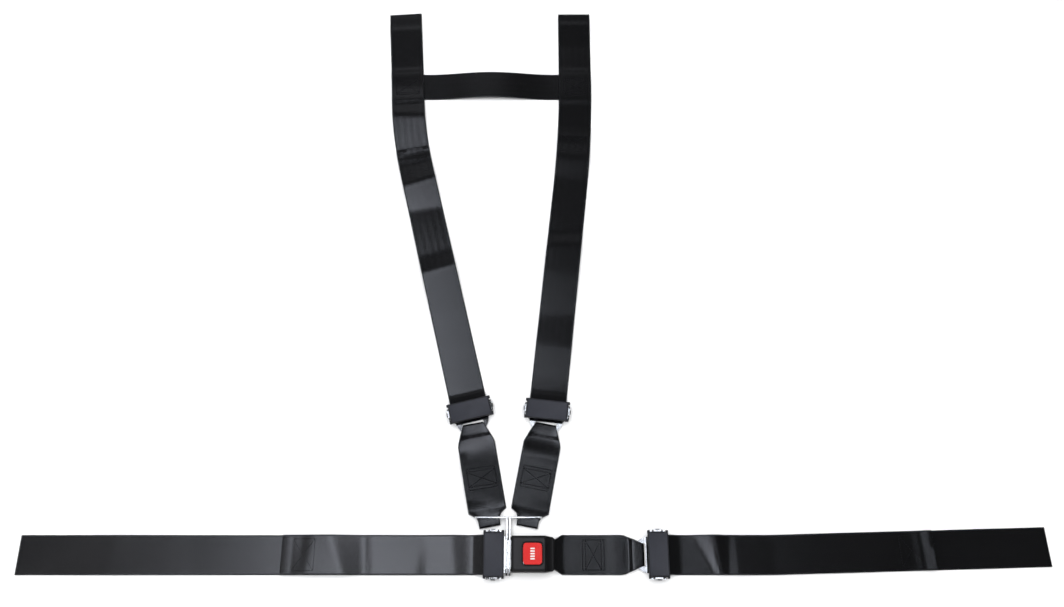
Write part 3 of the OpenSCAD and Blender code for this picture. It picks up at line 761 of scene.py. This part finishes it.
# Seams that join the cross strap to the shoulder straps
for name, route in (("left", left_route), ("right", right_route)):
    lower = creases(CREASES[name + "_shoulder"][0])
    seam_z = LOW + WEB_T + GAP + WEB_T / 2
    stitching(name + "_cross_stitching", "shoulder_straps", route,
              box_seams(route.u_of_y(cross_y), length=30 * MM, width=36 * MM, inner=3 * MM),
              lambda u, a, lower=lower: seam_z + lower(u, a))


# ---------- connectors ----------

HALF_WEB = WEB_W / MM / 2
UPPER_Z = 1.5 * MM                 # past the turn, what is higher than this is the upper layer
ROLL = 1.2 * MM                    # how far the edges roll up where a connector narrows
ROLL_NEAR = 14 * MM                # and how far along from there, at its start and at the adjuster's frame
ROLL_FAR = 16 * MM
NARROW_LINK = 18 * MM
NARROW_BUCKLE = 33 * MM
NARROW_FRAME = -14 * MM            # from the frame's slot
LINK_BOX = 0.47                    # middle of a shoulder connector's seams, as a share of its length
LAP_BOX_U = 78 * MM
LAP_END_U = 80 * MM                # where the lap connector's ends meet, under its seams

# Side views of a connector's loops: in its link, in the buckle, and in an adjuster's frame, where u is from
# the frame's slot
LINK_MOUTH = [(3.3 * MM, LOW)] + arc(3.3 * MM, 3.3 * MM, 2.6 * MM, 270, 90) + [
    (15 * MM, 5.9 * MM), (17 * MM, 5.5 * MM), (24.5 * MM, TAIL + 0.3 * MM), (27 * MM, TAIL)
]
BUCKLE_MOUTH = [
    (32 * MM, LOW), (28 * MM, LOW + 0.4 * MM), (25 * MM, 2.6 * MM), (22 * MM, 3.3 * MM)
] + arc(20.2 * MM, 5.4 * MM, 2.2 * MM, 270, 90) + [
    (24 * MM, 7.6 * MM), (27 * MM, 7.2 * MM), (37 * MM, TAIL + 0.4 * MM), (40 * MM, TAIL)
]
FRAME_MOUTH = [
    (-22 * MM, TAIL), (-19 * MM, TAIL + 0.3 * MM), (-14 * MM, 5.1 * MM), (-11 * MM, 5.3 * MM)
] + arc(-1.5 * MM, 3 * MM, 2.3 * MM, 90, -90)

# Half widths at the link, at the buckle and at an adjuster's frame, as (u, half width) in mm
LINK_TAPER = [(-2, 14), (14.5, 14.5), (21.5, HALF_WEB)]
BUCKLE_TAPER = [(10, 18.5), (27, 19), (37, HALF_WEB)]
FRAME_TAPER = [(-26, HALF_WEB), (2.5, 13.2)]

# Creases of the shoulder connectors: of the upper layer where it comes out of the link, and past LOWER_START
# of both layers together. The lap connector's are of its upper layer.
LINK_CREASES = [(14, 0), (21, 1.0), (27, 2.0)]
LOWER_START = [(38, 0)]
LEFT_CREASES = [(38, 2.9, -2, -2.8), (50, 2.9, -1, -2.8), (90, 2.9, 2, -2.8), (110, 1.2, 1, 1.1), (122, 0.3)]
RIGHT_CREASES = [(38, 1.2, 2, -0.9), (48, 1.5, 1, -0.9), (86, 1.4, 0, -0.9), (99, 3.2, -2, -0.6),
                 (112, 1.0, -1), (121, 0)]
LAP_CONNECTOR_CREASES = [(46, 0.2), (58, 0.2), (92, 0.2), (112, 1.6, 1), (122, 0.4), (126, 0)]


def connector_line(length, start, mouth):
    """Side view of a sewn loop: from under its middle to its loop at one fitting, then over to the other."""
    end = [(length + u, z) for u, z in FRAME_MOUTH]
    return side_view([(start, LOW)] + mouth + end + [(start + 0.2 * MM, LOW)])


def taper(start, length):
    """Width of a connector as f(u): it narrows at its start as given, and again at the adjuster's frame."""
    knots = start + [(length / MM + u, half) for u, half in FRAME_TAPER]

    def width(u):
        u = u / MM
        for (u0, w0), (u1, w1) in zip(knots, knots[1:]):
            if u <= u1:
                share = min(1, max(0, (u - u0) / (u1 - u0)))
                return 2 * (w0 + (w1 - w0) * share) * MM
        return 2 * knots[-1][1] * MM

    return width


def connector(name, thread_name, route, line, widths, knots, lower, narrow_at, seams_u, body):
    """A sewn loop of webbing with a box and cross of stitches. Returns its object, length and threads."""
    crease = creases(knots)
    near, far = narrow_at

    def upper(u, a):
        roll = max(0, 1 - abs(u - near) / ROLL_NEAR) + max(0, 1 - abs(u - far) / ROLL_FAR)
        return crease(u, a) + roll * abs(a) ** 4 * ROLL

    turning = turning_point(line)
    lifts = [upper if i > turning and p.z > UPPER_Z else lower for i, p in enumerate(line)]
    webbing, length = ribbon(name, on_route(route, line, widths, lifts), BLACK_WEB)
    threads = stitching(thread_name + "_thread", body, route, box_seams(seams_u),
                        lambda u, a: TAIL + WEB_T / 2 + crease(u, a))
    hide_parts(thread_name + "_stitching")
    return webbing, length, threads


for name, loop_at, adjuster, knots in (
        ("left", LEFT_LOOP, LEFT_SHOULDER, LEFT_CREASES),
        ("right", RIGHT_LOOP, RIGHT_SHOULDER, RIGHT_CREASES)):
    run = adjuster.slot - loop_at
    slot_u = run.length
    webbing, length, threads = connector(
        name + "_connector_loop_webbing", name + "_connector", Route(loop_at, math.atan2(-run.x, run.y)),
        connector_line(slot_u, slot_u / 2, LINK_MOUTH), taper(LINK_TAPER, slot_u), LINK_CREASES + knots,
        creases(LOWER_START + knots), (NARROW_LINK, slot_u + NARROW_FRAME), LINK_BOX * slot_u,
        "shoulder_adjusters")
    finish_sheet(webbing, [name + "_connector", name + "_connector_loop"])

slot_u = RIGHT_LAP.slot.x
webbing, length, threads = connector(
    "lap_connector_webbing", "lap_connector", Route((0, lap_y, 0), -math.pi / 2),
    connector_line(slot_u, LAP_END_U, BUCKLE_MOUTH), taper(BUCKLE_TAPER, slot_u), LAP_CONNECTOR_CREASES,
    lambda u, a: 0.0, (NARROW_BUCKLE, slot_u + NARROW_FRAME), LAP_BOX_U, "right_lap_adjuster")
finish_sheet(webbing, ["lap_connector", "lap_connector_loop"])


# ---------- grips ----------

GRIP_L = 27 * MM
GRIP_W = 57 * MM
GRIP_Z = 11.5 * MM
GRIP_TOP = 14.6 * MM
GRIP_R = 1.4 * MM
GRIP_BEVEL = 0.6 * MM
GRIP_RIM_W = 1.3 * MM
GRIP_FACE_DROP = 0.35 * MM

# Lugs at the grip's four corners
LUG_L = 3.2 * MM
LUG_W = 4.6 * MM
LUG_R = 0.8 * MM
LUG_BEVEL = 0.5 * MM
LUG_U = 11.9 * MM
LUG_V = 28.2 * MM
LUG_Z = 8.3 * MM
LUG_TOP = 14.1 * MM


def rounded_outline(length, width, r, n=5):
    """A rectangle in plan with round corners of n steps each."""
    x, y = length / 2 - r, width / 2 - r
    points = []
    for corner_x, corner_y, start in ((x, y, 0), (-x, y, 90), (-x, -y, 180), (x, -y, 270)):
        for i in range(n + 1):
            angle = math.radians(start + 90 * i / n)
            points.append((corner_x + r * math.cos(angle), corner_y + r * math.sin(angle)))
    return points


def ring(bm, centre, outline, grow, z):
    """Vertices of an outline about a centre, made larger by grow at its sides."""
    half_x = max(abs(x) for x, _ in outline)
    half_y = max(abs(y) for _, y in outline)
    kx, ky = 1 + grow / half_x, 1 + grow / half_y
    return [bm.verts.new((centre[0] + x * kx, centre[1] + y * ky, z)) for x, y in outline]


def add_block(bm, centre, outline, low, high, bevel, inset=0.0, drop=0.0, face_material=0):
    """A block on an outline with rounded top and bottom edges, and with an inset face sunk into its top."""
    layers = [(low, -bevel), (low + bevel * 0.3, -bevel * 0.3), (low + bevel, 0), (high - bevel, 0),
              (high - bevel * 0.6, -bevel * 0.08), (high - bevel * 0.3, -bevel * 0.3),
              (high - bevel * 0.08, -bevel * 0.6), (high, -bevel)]
    if inset:
        layers += [(high, -inset), (high - drop, -inset - drop)]
    n = len(outline)
    rings = [ring(bm, centre, outline, grow, z) for z, grow in layers]
    for a, b in zip(rings, rings[1:]):
        for i in range(n):
            bm.faces.new((a[i], a[(i + 1) % n], b[(i + 1) % n], b[i]))
    bm.faces.new(rings[0][::-1])
    bm.faces.new(rings[-1]).material_index = face_material


for adjuster in (LEFT_LAP, RIGHT_LAP, LEFT_SHOULDER, RIGHT_SHOULDER):
    bm = bmesh.new()
    add_block(bm, (0, 0), rounded_outline(GRIP_L, GRIP_W, GRIP_R), GRIP_Z, GRIP_TOP, GRIP_BEVEL,
              GRIP_RIM_W, GRIP_FACE_DROP, 1)
    for sx in (-1, 1):
        for sy in (-1, 1):
            lug = rounded_outline(LUG_L, LUG_W, LUG_R, 3)
            add_block(bm, (sx * LUG_U, sy * LUG_V), lug, LUG_Z, LUG_TOP, LUG_BEVEL)
    # The rim, sides and lugs take the darker plastic with painted shade; the sunk face takes the grain.
    grip = mesh_object(adjuster.name + "_grip_cap", bm, [GRIP_RIM_PAINTED_SHADE, GRIP_FACE])
    grip.data.set_sharp_from_angle(angle=math.radians(40))
    grip.data.transform(adjuster.matrix)
    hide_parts(adjuster.name + "_grip")
    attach(grip, adjuster.name + "_grip")


# ---------- buckle details ----------

button_low, button_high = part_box("buckle_button")
housing_low, housing_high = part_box("buckle_top_cover")
button_x = (button_low.x + button_high.x) / 2

# The panel on the housing round the button
BUTTON_L = 24 * MM
BUTTON_W = 27 * MM
HOLE_CLEAR = 4.2 * MM
HOLE_R = 5.8 * MM
PANEL_MARGIN = 3.4 * MM
PANEL_END_X = 14.2 * MM
PANEL_W = 39 * MM
PANEL_R = 2.2 * MM
PANEL_SINK = 0.3 * MM
PANEL_RISE = 0.5 * MM
PANEL_EDGE = 0.35 * MM

# Short raised ribs on the button's dished face
RIBS = 5
RIB_STEP = 3.2 * MM
RIB_L = 6.0 * MM
RIB_W = 1.9 * MM
RIB_R = 0.9 * MM
RIB_BEVEL = 0.2 * MM
RIB_SINK = 0.3 * MM
RIB_RISE = 0.45 * MM
DISH_R = 75 * MM
DISH_DEPTH = 0.6 * MM


def frame_plate(name, centre, outline, hole, low, high, material):
    """A raised plate with a hole and eased edges; both outlines have as many points."""
    bm = bmesh.new()
    edge = PANEL_EDGE
    layers = [(outline, 0, low), (outline, 0, high - edge), (outline, -edge * 0.3, high - edge * 0.3),
              (outline, -edge, high), (hole, edge, high), (hole, edge * 0.3, high - edge * 0.3),
              (hole, 0, high - edge), (hole, 0, low)]
    rings = [ring(bm, centre, points, grow, z) for points, grow, z in layers]
    n = len(outline)
    for a, b in zip(rings, rings[1:] + rings[:1]):
        for i in range(n):
            bm.faces.new((a[i], a[(i + 1) % n], b[(i + 1) % n], b[i]))
    obj = mesh_object(name, bm, [material])
    obj.data.set_sharp_from_angle(angle=math.radians(50))
    return obj


panel_start_x = housing_low.x + PANEL_MARGIN
panel_x = (panel_start_x + PANEL_END_X) / 2
outline = rounded_outline(PANEL_END_X - panel_start_x, PANEL_W, PANEL_R, 8)
hole = rounded_outline(BUTTON_L + HOLE_CLEAR, BUTTON_W + HOLE_CLEAR, HOLE_R, 8)
hole = [(x + button_x - panel_x, y) for x, y in hole]
panel = frame_plate("buckle_panel", (panel_x, lap_y), outline, hole,
                    housing_high.z - PANEL_SINK, housing_high.z + PANEL_RISE, PANEL)
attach(panel, "buckle")

bm = bmesh.new()
for i in range(RIBS):
    y = (i - (RIBS - 1) / 2) * RIB_STEP
    face_z = button_high.z - DISH_DEPTH + DISH_R - math.sqrt(DISH_R ** 2 - y * y)
    add_block(bm, (button_x, lap_y + y), rounded_outline(RIB_L, RIB_W, RIB_R, 4), face_z - RIB_SINK,
              face_z + RIB_RISE, RIB_BEVEL)
ribs = mesh_object("button_ribs", bm, [WHITE])
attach(ribs, "button")


# ---------- CAD nodes that show ----------

def dress(node, material, bevel=0.0, segments=2):
    """Gives a CAD node its material and rounds its edges."""
    obj = frame["nodes"][node]
    obj.data.materials.clear()
    obj.data.materials.append(material)
    if bevel:
        weld = obj.modifiers.new("weld", "WELD")
        weld.merge_threshold = 0.01 * MM
        edge = obj.modifiers.new("bevel", "BEVEL")
        edge.width = bevel
        edge.segments = segments
        edge.limit_method = "ANGLE"
        edge.angle_limit = math.radians(35)
        edge.harden_normals = False
        obj.modifiers.new("normals", "WEIGHTED_NORMAL").weight = 80
    obj.data.shade_smooth()


for node in ("tongue_frame", "left_shoulder_frame", "right_shoulder_frame", "right_lap_frame"):
    dress(node, CHROME, 0.8 * MM, 4)
for node in ("left_link", "right_link"):
    dress(node, CHROME, 0.25 * MM, 3)
for node in ("left_lap_bar", "right_lap_bar", "left_shoulder_bar", "right_shoulder_bar"):
    dress(node, KNURL, 0.25 * MM)
for node in ("buckle_frame", "buckle_latch"):
    dress(node, STEEL, 0.15 * MM)
for node in ("buckle_rivets", "buckle_screws", "buckle_ejector_spring"):
    dress(node, STEEL)
dress("buckle_top_cover", HOUSING, 0.8 * MM, 4)
dress("buckle_bottom_cover", HOUSING, 0.5 * MM, 3)
dress("buckle_ejector", HOUSING, 0.2 * MM)
dress("buckle_button", RED, 0.7 * MM, 4)


# ---------- floor, light and camera ----------

LIGHT_Z = 2.2
FILL_Z = 3.0
CAMERA_PLACE = (-0.00225, -0.5136, 1.2536)
CAMERA_TILT = math.radians(20)
CAMERA_LENS = 31.36
SENSOR_W = 36

bm = bmesh.new()
bmesh.ops.create_grid(bm, x_segments=8, y_segments=8, size=6)
floor = mesh_object("floor", bm, [floor_material()])


def studio_world():
    """A dim grey room, darker below the horizon."""
    world = bpy.data.worlds.new("studio")
    world.use_nodes = True
    tree = world.node_tree
    split = tree.nodes.new("ShaderNodeSeparateXYZ")
    tree.links.new(tree.nodes.new("ShaderNodeTexCoord").outputs["Generated"], split.inputs[0])
    ramp = tree.nodes.new("ShaderNodeValToRGB")
    tree.links.new(split.outputs[2], ramp.inputs[0])
    bottom, top = ramp.color_ramp.elements
    bottom.position = 0.0
    bottom.color = (0.02, 0.02, 0.022, 1)
    top.position = 1.0
    top.color = (0.045, 0.046, 0.048, 1)
    middle = ramp.color_ramp.elements.new(0.45)
    middle.color = (0.045, 0.045, 0.048, 1)
    tree.links.new(ramp.outputs[0], tree.nodes["Background"].inputs["Color"])
    return world


def softbox(name, place, size, power, colour, glossy=True):
    """A rectangular light that faces the floor. One that isn't glossy shows in no reflection."""
    data = bpy.data.lights.new(name, "AREA")
    data.shape = "RECTANGLE"
    data.size, data.size_y = size
    data.energy = power
    data.color = colour
    obj = link(bpy.data.objects.new(name, data))
    obj.location = place
    obj.visible_glossy = glossy


# The fill lights everything. The rest are small and dim, and show as the sheen on webbing and chrome.
bpy.context.scene.world = studio_world()
softbox("fill", (0, 0, FILL_Z), (4.6, 4.0), 168, (1.0, 1.0, 1.0), glossy=False)
softbox("left_box", (-0.60, -0.2, LIGHT_Z), (0.56, 2.4), 11.2, (0.90, 0.93, 1.0))
softbox("top_box", (-0.35, 2.45, LIGHT_Z), (1.2, 0.5), 1.0, (0.96, 0.97, 1.0))
softbox("tongue_strip", (-0.085, -0.19, LIGHT_Z), (0.07, 0.26), 0.25, (0.92, 0.95, 1.0))
softbox("link_strip", (-0.09, -0.09, LIGHT_Z), (0.32, 0.07), 0.30, (0.92, 0.95, 1.0))
softbox("shoulder_strip", (0.06, 0.30, LIGHT_Z), (0.22, 0.16), 0.20, (0.88, 0.93, 1.0))
softbox("right_strip", (0.46, -0.25, LIGHT_Z), (0.14, 0.5), 0.50, (0.88, 0.92, 1.0))

bpy.context.scene.view_settings.view_transform = "Standard"

camera_data = bpy.data.cameras.new("camera")
camera_data.lens = CAMERA_LENS
camera_data.sensor_width = SENSOR_W
camera = link(bpy.data.objects.new("camera", camera_data))
camera.location = CAMERA_PLACE
camera.rotation_euler = (CAMERA_TILT, 0, 0)
bpy.context.scene.camera = camera
